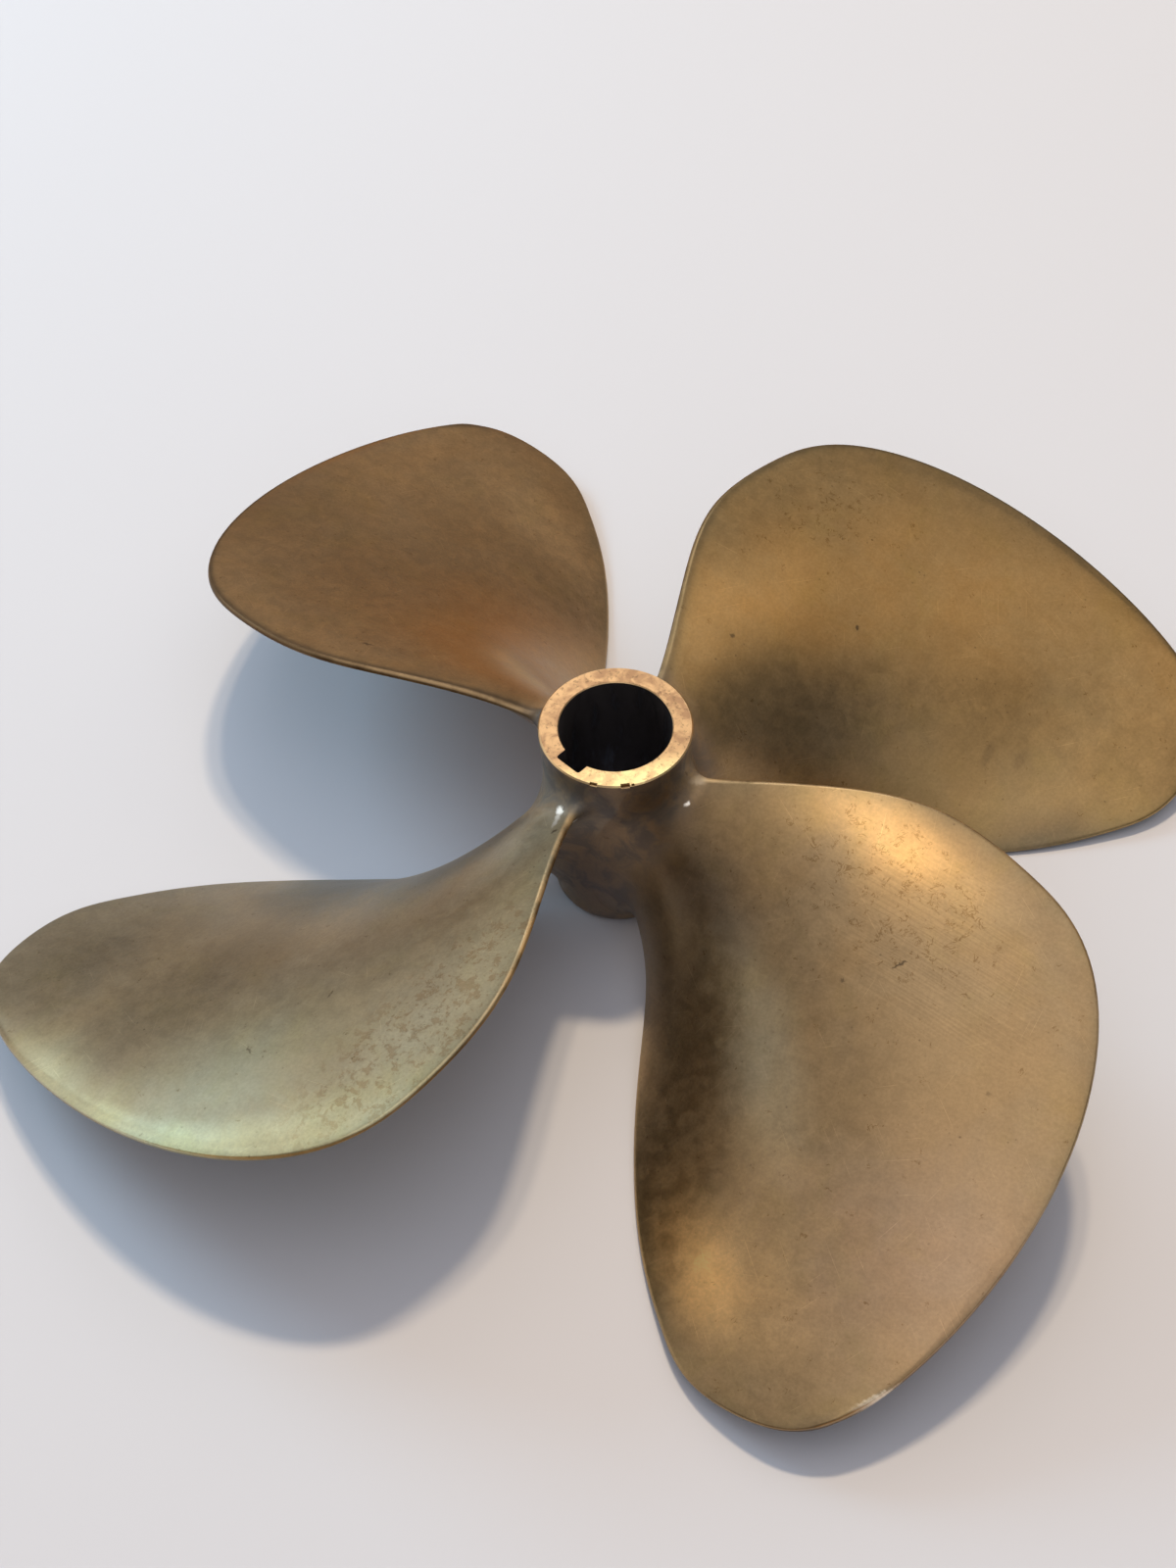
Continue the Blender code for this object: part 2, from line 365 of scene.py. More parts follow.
def casting_mesh():
    skin = Skin()
    rims = {"top": [], "bottom": []}
    for number in range(BLADE_COUNT):
        build_blade(skin, number, rims)
    fore = hub_radius(HUB_LENGTH)
    close_end(skin, rims["top"], [(fore - HUB_FORE_CHAMFER, HUB_LENGTH)], True)
    side = hub_radius(HUB_AFT_ROUND)
    aft = []
    for i in range(1, AFT_ROUND_STEPS + 1):
        turn = math.pi / 2 * i / AFT_ROUND_STEPS
        radius = side - HUB_AFT_ROUND * (1 - math.cos(turn))
        aft.append((radius, HUB_AFT_ROUND * (1 - math.sin(turn))))
    close_end(skin, rims["bottom"], aft, False)
    mesh = bpy.data.meshes.new("propeller")
    mesh.from_pydata([tuple(map(float, p)) for p in skin.points], [],
                     [tuple(map(int, f)) for f in skin.faces])
    for name, rows in (("place", skin.place), ("edge", skin.edge)):
        layer = mesh.attributes.new(name, "FLOAT_VECTOR", "POINT")
        layer.data.foreach_set("vector", np.array(rows, np.float32).ravel())
    layer = mesh.attributes.new("tarnish", "FLOAT_COLOR", "POINT")
    tint = tarnish(np.array(skin.points) / MM, np.array(skin.place), np.array(skin.edge))
    rub_and_sheen = edge_rub_and_sheen(np.array(skin.place))
    layer.data.foreach_set("color", np.c_[tint, rub_and_sheen].astype(np.float32).ravel())
    bm = bmesh.new()
    bm.from_mesh(mesh)
    bmesh.ops.remove_doubles(bm, verts=bm.verts, dist=1e-6)
    bm.to_mesh(mesh)
    bm.free()
    return mesh


def stacked(name, outlines):
    """Closed mesh through outlines of equal length, each counter-clockwise seen from above."""
    sides = len(outlines[0])
    points = [point for outline in outlines for point in outline]
    faces = []
    for low in range(0, len(points) - sides, sides):
        for i in range(sides):
            j = (i + 1) % sides
            faces.append((low + i, low + j, low + sides + j, low + sides + i))
    faces.append(tuple(reversed(range(sides))))
    faces.append(tuple(range(len(points) - sides, len(points))))
    mesh = bpy.data.meshes.new(name)
    mesh.from_pydata(points, [], faces)
    return mesh


def bore_cutter():
    turns = 2 * math.pi * np.arange(BORE_SIDES) / BORE_SIDES
    outlines = []
    for z in (-CUT_PAST, 0.0, BORE_CHAMFER, HUB_LENGTH - BORE_CHAMFER, HUB_LENGTH, HUB_LENGTH + CUT_PAST):
        radius = bore_radius(z) + (BORE_CHAMFER if z <= 0 or z >= HUB_LENGTH else 0.0)
        outlines.append([(radius * math.cos(turn), radius * math.sin(turn), z) for turn in turns])
    return stacked("bore", outlines)


def keyway_cutter():
    """Slot along +X that follows the bore's taper, with two rounded inner corners."""
    outlines = []
    for z in (-CUT_PAST, HUB_LENGTH + CUT_PAST):
        start = bore_radius(z) + KEY_DEPTH - KEY_ROUND
        side = KEY_WIDTH / 2 - KEY_ROUND
        turns = [math.pi / 2 * i / KEY_ROUND_STEPS for i in range(KEY_ROUND_STEPS + 1)]
        corner = [(start + KEY_ROUND * math.sin(turn), side + KEY_ROUND * math.cos(turn)) for turn in turns]
        outline = [(0.0, -KEY_WIDTH / 2, z)]
        outline += [(x, -y, z) for x, y in corner]
        outline += [(x, y, z) for x, y in reversed(corner)]
        outline.append((0.0, KEY_WIDTH / 2, z))
        outlines.append(outline)
    return stacked("keyway", outlines)


def nick_cutter(width, depth):
    """Box that bites depth into the forward rim at +X, slanting like a chisel mark."""
    outer = hub_radius(HUB_LENGTH) + depth
    half = width / 2
    outlines = []
    for z, inner in ((HUB_LENGTH - depth, outer - 2 * depth), (HUB_LENGTH + depth, outer - 2.4 * depth)):
        outlines.append([(inner, -half, z), (outer, -half, z), (outer, half, z), (inner, half, z)])
    return stacked("nick", outlines)


def add_object(name, mesh, turn=0.0):
    item = bpy.data.objects.new(name, mesh)
    item.rotation_euler.z = turn
    bpy.context.scene.collection.objects.link(item)
    return item


def cut(item, cutter):
    """Subtracts a cutter for good and removes it."""
    step = item.modifiers.new("cut", "BOOLEAN")
    step.operation = "DIFFERENCE"
    step.solver = "EXACT"
    step.object = cutter
    bpy.context.view_layer.update()
    seen = item.evaluated_get(bpy.context.evaluated_depsgraph_get())
    mesh = bpy.data.meshes.new_from_object(seen)
    item.modifiers.clear()
    item.data = mesh
    bpy.data.objects.remove(cutter)


def build_propeller():
    propeller = add_object("propeller", casting_mesh())
    cut(propeller, add_object("bore_cutter", bore_cutter()))
    key_turn = FIRST_BLADE_TURN + (KEY_BLADE - 1) * QUARTER + KEY_OFFSET
    cut(propeller, add_object("keyway_cutter", keyway_cutter(), key_turn))
    for turn, width, depth in NICKS:
        cut(propeller, add_object("nick_cutter", nick_cutter(width, depth), math.radians(turn)))
    mesh = propeller.data
    mesh.shade_smooth()
    mesh.set_sharp_from_angle(angle=SHARP_ANGLE)
    mesh.materials.clear()
    for material in (cast_bronze(), turned_bronze(), bored_bronze()):
        mesh.materials.append(material)
    for face in mesh.polygons:
        face.material_index = finish_of(face)
    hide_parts("propeller_casting")
    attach(propeller, "root")


def finish_of(face):
    """Which finish a face has: 0 as cast and ground, 1 turned forward face, 2 bore and keyway."""
    x, y, z = face.center
    reach = math.hypot(x, y)
    if face.normal.z > 0.3 and z > HUB_LENGTH - 0.9 * HUB_FORE_CHAMFER:
        return 1
    if reach < bore_radius(z) + KEY_DEPTH + MM / 2 and abs(face.normal.z) < 0.99:
        return 2
    return 0


class Nodes:
    """Short calls that build one material's nodes, with lengths in millimetres."""

    def __init__(self, name):
        self.material = bpy.data.materials.new(name)
        self.material.use_nodes = True
        self.tree = self.material.node_tree
        self.shader = self.tree.nodes["Principled BSDF"]

    def put(self, kind, inputs, output=0, **settings):
        """Adds a node, sets or links its inputs, and gives one of its outputs."""
        node = self.tree.nodes.new(kind)
        for key, value in settings.items():
            setattr(node, key, value)
        for key, value in inputs.items():
            self.feed(node.inputs[key], value)
        return node.outputs[output]

    def feed(self, socket, value):
        if isinstance(value, bpy.types.NodeSocket):
            self.tree.links.new(value, socket)
        elif socket.type == "VECTOR":
            socket.default_value = value[:3]
        else:
            socket.default_value = value

    def math(self, operation, first, second=0.0, third=0.0):
        return self.put("ShaderNodeMath", {0: first, 1: second, 2: third}, operation=operation)

    def vector(self, operation, first, second=(0, 0, 0), scale=1.0, output=0):
        inputs = {0: first, 1: second}
        if operation == "SCALE":
            inputs = {0: first, 3: scale}
        return self.put("ShaderNodeVectorMath", inputs, output, operation=operation)

    def place(self):
        """Place on the part in millimetres."""
        here = self.put("ShaderNodeTexCoord", {}, "Object")
        return self.vector("SCALE", here, scale=1 / MM)

    def layer(self, name, output):
        return self.put("ShaderNodeAttribute", {}, output, attribute_name=name)

    def noise(self, vector, size, detail=2.0, rough=0.5, bend=0.0):
        inputs = {"Vector": vector, "Scale": 1 / size, "Detail": detail, "Roughness": rough,
                  "Distortion": bend}
        return self.put("ShaderNodeTexNoise", inputs, "Fac")

    def span(self, value, low, high, start=0.0, end=1.0):
        """Smooth step from start, at low, to end, at high."""
        inputs = {"Value": value, "From Min": low, "From Max": high, "To Min": start, "To Max": end}
        return self.put("ShaderNodeMapRange", inputs, "Result", interpolation_type="SMOOTHSTEP")

    def blend(self, share, first, second):
        return self.put("ShaderNodeMix", {0: share, 6: first, 7: second}, 2, data_type="RGBA")

    def shade(self, color, share):
        """A colour made darker, or brighter where share is over 1."""
        return self.vector("SCALE", color, scale=share)

    def tint(self, color, gain):
        """A colour multiplied by another, channel by channel."""
        return self.vector("MULTIPLY", color, gain)

    def lines(self, flat, angle, length, width, low, high, seed):
        """Fine straight lines along a direction on the blade's surface, one where a line is."""
        turned = self.put("ShaderNodeVectorRotate", {"Vector": flat, "Angle": math.radians(angle)},
                          rotation_type="Z_AXIS")
        flow = self.vector("MULTIPLY", turned, (1 / length, 1 / width, 0))
        flow = self.vector("ADD", flow, (seed, 2 * seed, seed))
        return self.span(self.noise(flow, 1.0, 1.0), low, high)

    def region(self, flat, blade, spot, reach):
        """Distance from a place on a blade, as a share of the reach outward and along."""
        gap = self.vector("SUBTRACT", flat, (*spot, BLADE_STEP * blade))
        return self.vector("LENGTH", self.vector("MULTIPLY", gap, (1 / reach[0], 1 / reach[1], 1)), output=1)

    def bump(self, height):
        return self.put("ShaderNodeBump", {"Height": height, "Strength": 1.0, "Distance": MM})

    def finish(self, color, roughness, normal, metallic=1.0):
        self.feed(self.shader.inputs["Base Color"], color)
        self.feed(self.shader.inputs["Roughness"], roughness)
        self.feed(self.shader.inputs["Normal"], normal)
        self.feed(self.shader.inputs["Metallic"], metallic)
        return self.material


# Bronze colours
BRONZE = (0.43, 0.295, 0.158, 1)
POLISHED = (0.80, 0.58, 0.32, 1)
BRIGHT = (1.0, 0.88, 0.70, 1)
WHITE = (1, 1, 1, 1)
PIT = (0.10, 0.07, 0.045, 1)
GRIME = (0.15, 0.118, 0.088, 1)
TURNED = (0.73, 0.465, 0.24, 1)
TURNED_STAIN = (0.53, 0.315, 0.172, 1)
TURNED_FLECK = (0.255, 0.16, 0.09, 1)
BORED = (0.22, 0.20, 0.21, 1)
BORED_STREAK = (0.36, 0.38, 0.44, 1)

# Gains on the bronze where it is etched, crossed by worm-like lines or dull at an edge, and on the side of
# the forward face that has a painted highlight
ETCHED_TINT = (0.84, 0.76, 0.70, 1)
WORM_TINT = (0.55, 0.48, 0.38, 1)
DULL_EDGE = (0.88, 0.93, 0.96, 1)
SIDE_HIGHLIGHT_GAIN = (1.80, 2.10, 1.95, 1)

# Tint of each blade, counter-clockwise from the first, and of the hub, as gains on the bronze; the blades'
# tints are partly painted reflection, the colour of the light each blade mirrors
BLADE_TINTS = ((1.0, 0.98, 0.85), (1.05, 0.95, 0.85), (0.85, 1.0, 1.2), (0.88, 0.88, 0.88))
HUB_TINT = (1.15, 1.15, 1.2)
EDGE_WINDOW_SHEEN = (1.7, 2.0, 2.0)  # painted green-grey reflection of the cool window along one leading edge
SHEEN_BLADE = 2
LEAD_EDGES = ((0.72, 0.74, 0.80), (0.50, 0.52, 0.60), (1, 1, 1), (1, 1, 1))  # at each leading edge
UNDER_EDGE_SHADE = (0.42, 0.34, 0.28)  # painted shade below a leading edge, where the bronze mirrors the shadowed floor
RUB_AND_SHEEN_EDGES = ((0.25, 110), (0.22, 110), (0.95, 110), (0.95, 165))  # how bright the leading edge's rubbed and painted-highlight line is, and out to what radius
EDGE_ROLL = 22.0  # millimetres over which the blade rolls down to its edge

# Tones of the patches, as gains on the bronze: partly tarnish, partly painted highlight and painted shade
DARK = (0.6, 0.65, 0.8)
DIMMED = (0.8, 0.8, 0.8)
PALER = (1.4, 1.4, 1.4)
GOLDEN = (1.7, 1.6, 1.4)
GREENISH = (1.2, 1.4, 1.5)
GREY = (1.1, 1.1, 1.3)
SILVERY = (1.4, 1.7, 2.1)
DEEP_SHADE = (0.4, 0.4, 0.4)
DUSKY = (0.7, 0.75, 0.95)

# Patches, partly tarnish and partly painted highlight and painted shade where the blades mirror bright or
# dark parts of the room: blade, (radius, along), (half length, half width), degrees from outward, tone
PATCHES = ((0, (90, -25), (75, 35), -25, DARK), (0, (95, 40), (50, 25), 0, PALER),
           (0, (165, -80), (80, 30), 0, DIMMED), (0, (190, -140), (45, 15), -25, DARK),
           (1, (70, 5), (30, 15), -15, SILVERY), (1, (185, 20), (70, 70), 0, DIMMED),
           (1, (240, 10), (35, 60), 0, DIMMED), (1, (200, -115), (45, 25), 0, PALER),
           (2, (60, 25), (35, 15), 0, SILVERY), (2, (110, -40), (55, 30), 0, PALER),
           (2, (190, -50), (70, 30), 0, DIMMED), (2, (225, 10), (70, 40), 0, GREENISH),
           (2, (235, -115), (50, 25), -15, DIMMED), (3, (65, 0), (40, 20), -20, DARK),
           (3, (120, 60), (65, 25), 0, GOLDEN), (3, (125, 62), (40, 16), 10, GOLDEN),
           (3, (120, -35), (70, 20), -30, SILVERY), (3, (140, -85), (70, 35), 0, PALER),
           (3, (205, -120), (50, 30), 0, GOLDEN), (3, (200, -125), (40, 16), -25, GOLDEN),
           (3, (240, -60), (60, 60), 0, GREY))
PATCH_WARP = 4.0  # millimetres by which their outlines wander
WANDER_SEED = 7

# Patches on the hub's side, painted shade under the forward ring between the blades and a darker, bluer one
# low down: (turn in degrees, height), (reach in degrees, reach up), tone
HUB_PATCHES = (((-135, 90), (35, 20), DEEP_SHADE), ((-50, 85), (40, 25), DEEP_SHADE), ((-97, 90), (30, 25), DARK),
               ((-100, 25), (40, 35), DUSKY))
HIGHLIGHT_SIDE = (0.28, -0.96, 0.0)  # side of the forward face that gets a painted highlight

# Regions on a blade: blade, (radius, along), (reach outward, reach along)
WORMS = (((3, (135, 45), (62, 38)), 0.15), ((0, (168, 50), (48, 34)), 0.11))  # with how thick they are
ETCHED = (2, (150, 66), (85, 34))
GROUND = (3, (160, 38), (62, 42))

# Single marks: blade, (radius, along), degrees from outward, length, width, depth of tint
MARKS = ((3, (151, 23), 62, 9.0, 1.3, 0.75), (3, (137, 4), 20, 2.6, 2.0, 0.6),
         (3, (210, 7), 30, 3.0, 2.4, 0.3), (0, (138, -2), 50, 3.4, 2.2, 0.8),
         (0, (82, 30), 10, 3.6, 2.6, 0.6), (0, (172, -86), 35, 15.0, 7.0, 0.22),
         (0, (186, -98), 15, 11.0, 8.0, 0.20), (1, (121, 58), 25, 7.0, 2.0, 0.7),
         (2, (196, 6), 75, 6.0, 1.3, 0.55), (2, (158, 12), 15, 5.0, 1.6, 0.5),
         (2, (52, 38), 0, 3.2, 2.4, 0.8))

# Painted glints in the root fillets, then painted warm highlights on a blade tip's rim and at a root corner,
# in the same form
GLINTS = ((2, (45, 33), 25, 13.0, 2.6, 0.55), (2, (40, 31), 25, 5.0, 4.0, 1.0),
          (3, (40, 26), 70, 3.0, 2.0, 1.0))
WARM_GLINTS = ((3, (278.3, -100), 90, 40.0, 4.6, 1.0), (3, (39.5, 35), 20, 7.0, 4.0, 0.16))


def smooth_step(value, low, high):
    """From 0 at low to 1 at high."""
    share = np.clip((value - low) / (high - low), 0.0, 1.0)
    return share * share * (3 - 2 * share)


def blended(share, gain):
    """A gain for each point, between none and the full one."""
    return 1 + share[:, None] * (np.array(gain) - 1)


def tarnish(points, place, edge):
    """Soft tint of each point, as a gain on the bronze: its blade's or the hub's, patches of tarnish and of
    painted highlight and shade, and a painted reflection along one edge.
    """
    radius, along, number = place.T
    x, y, height = points.T
    blade = np.rint(number / BLADE_STEP).astype(int)
    # Each blade's tint, partly a painted reflection of the light that blade mirrors
    tint = np.array(BLADE_TINTS + ((1, 1, 1),))[blade]
    tint = np.array(HUB_TINT) + (tint - HUB_TINT) * smooth_step(radius, 33.0, 52.0)[:, None]
    noise.seed_set(WANDER_SEED)
    drift = np.array([noise.turbulence_vector(Vector(spot) / 30, 3, False)[:2] for spot in place])
    radius = radius + PATCH_WARP * drift[:, 0]
    along = along + PATCH_WARP * drift[:, 1]
    # Patches of tarnish, painted highlight and painted shade
    for owner, (out, shift), (length, width), degrees, gain in PATCHES:
        c, s = math.cos(math.radians(degrees)), math.sin(math.radians(degrees))
        ahead = (radius - out) * c + (along - shift) * s
        aside = (along - shift) * c - (radius - out) * s
        gap = np.hypot(ahead / length, aside / width)
        tint *= blended((blade == owner) * (1 - smooth_step(gap, 0.0, 1.3)), gain)
    turn = np.degrees(np.arctan2(y, x))
    near_hub = 1 - smooth_step(place[:, 0], 36.0, 50.0)
    # Painted shade on the hub's side under the ring between the blades, and a darker, bluer patch low down
    for (middle, level), (wide, tall), gain in HUB_PATCHES:
        aside = (turn - middle + 180) % 360 - 180 + 0.4 * PATCH_WARP * drift[:, 0]
        gap = np.hypot(aside / wide, (height - level) / tall)
        tint *= blended(near_hub * (1 - smooth_step(gap, 0.0, 1.3)), gain)
    lead = edge[:, 0] + 6.0 * drift[:, 0]
    # Painted reflection of the cool window along one blade's leading edge
    window_sheen = (blade == SHEEN_BLADE) * (1 - smooth_step(lead, 5.0, 42.0)) * smooth_step(along, -100.0, -50.0)
    at_edge = 1 - smooth_step(edge[:, 0], 1.5, 5.0)
    tint *= blended(at_edge, np.array(LEAD_EDGES + ((1, 1, 1),))[blade])
    # Painted shade under the leading edges, where the bronze mirrors the shadowed floor
    under_shade = (1 - smooth_step(edge[:, 2], 0.0, 1.1)) * (1 - smooth_step(edge[:, 0], 4.0, 12.0))
    tint *= blended(under_shade * smooth_step(place[:, 0], 45.0, 65.0), UNDER_EDGE_SHADE)
    return tint * blended(window_sheen * (0.12 + 0.88 * smooth_step(radius, 150.0, 222.0)), EDGE_WINDOW_SHEEN)


def edge_rub_and_sheen(place):
    """How bright the leading edge's line is level with each point, partly rubbed bronze and partly painted
    highlight, most of all near the root.
    """
    radius, _, number = place.T
    blade = np.rint(number / BLADE_STEP).astype(int)
    share, reach = np.array(RUB_AND_SHEEN_EDGES + ((0, 0),))[blade].T
    return share * (1 - 0.85 * smooth_step(radius, reach, reach + 60.0))


def blade_place(n):
    """Radius, and the vector of radius, distance along the helix, and steps for the blade's number."""
    flat = n.layer("place", "Vector")
    return n.put("ShaderNodeSeparateXYZ", {0: flat}), flat


def clouds(n, here):
    """Bronze with soft clouds of warmer, olive and greyer tarnish, mottled and grainy."""
    warm = n.noise(here, 52.0, 3.0, 0.55, 0.5)
    olive = n.noise(n.vector("ADD", here, (31, 47, 11)), 30.0, 4.0, 0.6, 0.6)
    light = n.noise(n.vector("ADD", here, (-53, 17, 71)), 22.0, 5.0, 0.62, 0.4)
    mottle = n.noise(n.vector("ADD", here, (5, -29, 43)), 6.5, 5.0, 0.6, 0.5)
    grain = n.noise(here, 1.3, 3.0, 0.6)
    color = n.tint(BRONZE, n.blend(n.span(warm, 0.34, 0.66), (1.03, 1.00, 0.96, 1), (0.98, 1.00, 1.04, 1)))
    color = n.tint(color, n.blend(n.span(olive, 0.48, 0.72), WHITE, (0.99, 1.00, 0.94, 1)))
    color = n.shade(color, n.span(light, 0.32, 0.68, 0.95, 1.05))
    color = n.shade(color, n.span(mottle, 0.32, 0.68, 0.94, 1.06))
    color = n.shade(color, n.span(grain, 0.3, 0.7, 0.94, 1.06))
    return color, mottle, grain


def grime(n, here, radius):
    """Where cloudy dull grime covers the hub's side, up to one."""
    cloudy = n.noise(n.vector("ADD", here, (17, 3, 29)), 13.0, 5.0, 0.62, 0.8)
    return n.math("MULTIPLY", n.span(cloudy, 0.38, 0.62, 0.45, 1.0), n.span(radius, 34.0, 54.0, 1.0, 0.0))


def single_marks(n, flat, rows):
    """Dents, pits or painted glints that stand alone, as one at their strongest."""
    ragged = n.put("ShaderNodeTexNoise", {"Vector": flat, "Scale": 0.7, "Detail": 2.0}, "Color")
    ragged = n.vector("SUBTRACT", ragged, (0.5, 0.5, 0.5))
    ragged = n.vector("ADD", flat, n.vector("MULTIPLY", ragged, (2, 2, 0)))
    total = 0.0
    for blade, (radius, along), angle, length, width, depth in rows:
        gap = n.vector("SUBTRACT", ragged, (radius, along, BLADE_STEP * blade))
        gap = n.put("ShaderNodeVectorRotate", {"Vector": gap, "Angle": -math.radians(angle)},
                    rotation_type="Z_AXIS")
        gap = n.vector("LENGTH", n.vector("MULTIPLY", gap, (2 / length, 2 / width, 1)), output=1)
        total = n.math("MAXIMUM", n.span(gap, 0.35, 1.1, depth, 0.0), total)
    return total


def squiggles(n, here, flat):
    """Short dark worm-like lines, thick in a region of two blades and sparse elsewhere."""
    near = 0.0
    for place, share in WORMS:
        near = n.math("MAXIMUM", n.span(n.region(flat, *place), 0.3, 1.2, share, 0.0), near)
    worm = n.noise(n.vector("ADD", here, (3, 9, 27)), 6.0, 3.0, 0.6, 1.8)
    worm = n.span(n.math("ABSOLUTE", n.math("SUBTRACT", worm, 0.5)), 0.012, 0.040, 1.0, 0.0)
    broken = n.noise(n.vector("ADD", here, (13, 1, 5)), 4.5, 3.0)
    broken = n.span(n.math("ADD", broken, near), 0.64, 0.72)
    return n.math("MULTIPLY", worm, broken)


def freckles(n, here):
    """Tiny dark pits, in loose groups."""
    pits = n.put("ShaderNodeTexVoronoi", {"Vector": here, "Scale": 1 / 4.2}, "Distance")
    pits = n.span(pits, 0.07, 0.15, 1.0, 0.0)
    groups = n.noise(n.vector("ADD", here, (7, 5, 3)), 24.0, 3.0, 0.6)
    return n.math("MULTIPLY", pits, n.span(groups, 0.52, 0.66, 0.0, 0.8))


def etching(n, here, flat):
    """Shallow etched blotches along the leading side of one blade."""
    near = n.span(n.region(flat, *ETCHED), 0.45, 1.15, 1.0, 0.0)
    blotch = n.noise(here, 6.0, 6.0, 0.72, 0.3)
    fine = n.noise(here, 2.2, 3.0, 0.65)
    blotch = n.math("MAXIMUM", n.span(blotch, 0.53, 0.58), n.span(fine, 0.60, 0.66))
    return n.math("MULTIPLY", blotch, near)


def scratches(n, flat, radius):
    """Hair scratches, one where one is, then brushing and grinding lines, around a half where none."""
    hair = n.lines(flat, 24.0, 42.0, 0.5, 0.71, 0.79, 3.0)
    hair = n.math("MAXIMUM", hair, n.lines(flat, -51.0, 30.0, 0.5, 0.72, 0.80, 9.0))
    hair = n.math("MAXIMUM", hair, n.lines(flat, 83.0, 36.0, 0.5, 0.72, 0.80, 15.0))
    hair = n.math("MULTIPLY", hair, n.span(radius, 36.0, 50.0))
    brush = n.lines(flat, -14.0, 16.0, 1.6, 0.3, 0.7, 33.0)
    ground = n.lines(flat, -8.0, 60.0, 0.8, 0.35, 0.65, 21.0)
    near = n.span(n.region(flat, *GROUND), 0.4, 1.1, 1.0, 0.0)
    ground = n.blend(near, (0.5, 0.5, 0.5, 1), ground)
    return hair, brush, ground


def worn_and_sheen_edges(n, color, here, radius):
    """Dull bands along the edges, and a thin bright line on the leading edge, partly rubbed bronze and partly
    painted highlight.
    """
    edge = n.put("ShaderNodeSeparateXYZ", {0: n.layer("edge", "Vector")})
    lead, trail = edge, edge.node.outputs[1]
    ragged = n.noise(here, 13.0, 4.0, 0.6)
    near = n.math("MINIMUM", lead, trail)
    dull = n.math("MULTIPLY_ADD", ragged, 12.0, near)
    color = n.tint(color, n.blend(n.span(dull, 4.0, 16.0, 1.0, 0.0), WHITE, DULL_EDGE))
    # Thin bright line on the leading edge: partly rubbed bronze, partly painted highlight
    rub_and_sheen = n.span(lead, 0.2, 1.3, 1.0, 0.0)
    rub_and_sheen = n.math("MULTIPLY", rub_and_sheen, n.span(ragged, 0.35, 0.55, 0.25, 1.0))
    rub_and_sheen = n.math("MULTIPLY", rub_and_sheen, n.layer("tarnish", "Alpha"))
    rub_and_sheen = n.math("MULTIPLY", rub_and_sheen, n.span(radius, 38.0, 46.0))
    inputs = {"Value": near, "From Min": 0.0, "From Max": EDGE_ROLL, "To Min": 1.0, "To Max": 0.0}
    rolled = n.put("ShaderNodeMapRange", inputs, "Result")
    return n.blend(rub_and_sheen, color, POLISHED), rub_and_sheen, n.math("MULTIPLY", rolled, rolled)


def cast_bronze():
    """Ground bronze blades and hub: clouds of tarnish, fine scratches, pits, rubbed edges, and painted
    highlights, glints and shade.
    """
    n = Nodes("cast_bronze")
    here = n.place()
    radius, flat = blade_place(n)
    color, mottle, grain = clouds(n, here)
    covered = grime(n, here, radius)
    color = n.blend(covered, color, GRIME)
    # Per-point tint: tarnish with painted highlights, painted shade and a painted reflection
    color = n.tint(color, n.layer("tarnish", "Color"))
    etched = etching(n, here, flat)
    color = n.tint(color, n.blend(etched, WHITE, ETCHED_TINT))
    worms = squiggles(n, here, flat)
    color = n.tint(color, n.blend(n.math("MULTIPLY", worms, 0.7), WHITE, WORM_TINT))
    dark = n.math("MAXIMUM", n.math("MULTIPLY", freckles(n, here), 0.55), single_marks(n, flat, MARKS))
    color = n.blend(dark, color, PIT)
    hair, brush, ground = scratches(n, flat, radius)
    color = n.shade(color, n.math("MULTIPLY_ADD", hair, 0.32, 1.0))
    color = n.shade(color, n.span(brush, 0.0, 1.0, 0.985, 1.015))
    color = n.shade(color, n.span(ground, 0.0, 1.0, 0.95, 1.05))
    # Painted glints in the root fillets
    color = n.blend(single_marks(n, flat, GLINTS), color, WHITE)
    color, rub_and_sheen, rolled = worn_and_sheen_edges(n, color, here, radius)
    # Painted warm highlights on a blade tip's rim and at a root corner
    color = n.blend(single_marks(n, flat, WARM_GLINTS), color, BRIGHT)

    roughness = n.span(mottle, 0.3, 0.7, 0.32, 0.40)
    roughness = n.math("MULTIPLY_ADD", rub_and_sheen, -0.08, roughness)
    roughness = n.math("MULTIPLY_ADD", dark, 0.18, roughness)
    roughness = n.math("MULTIPLY_ADD", covered, 0.12, roughness)

    height = n.math("MULTIPLY", n.noise(here, 14.0, 3.0, 0.5), 0.09)
    for layer, depth in ((mottle, 0.02), (grain, 0.004), (hair, -0.006), (ground, 0.005), (etched, -0.02),
                         (rolled, -0.8)):
        height = n.math("MULTIPLY_ADD", layer, depth, height)
    return n.finish(color, roughness, n.bump(height), n.span(covered, 0.0, 1.0, 1.0, 0.3))


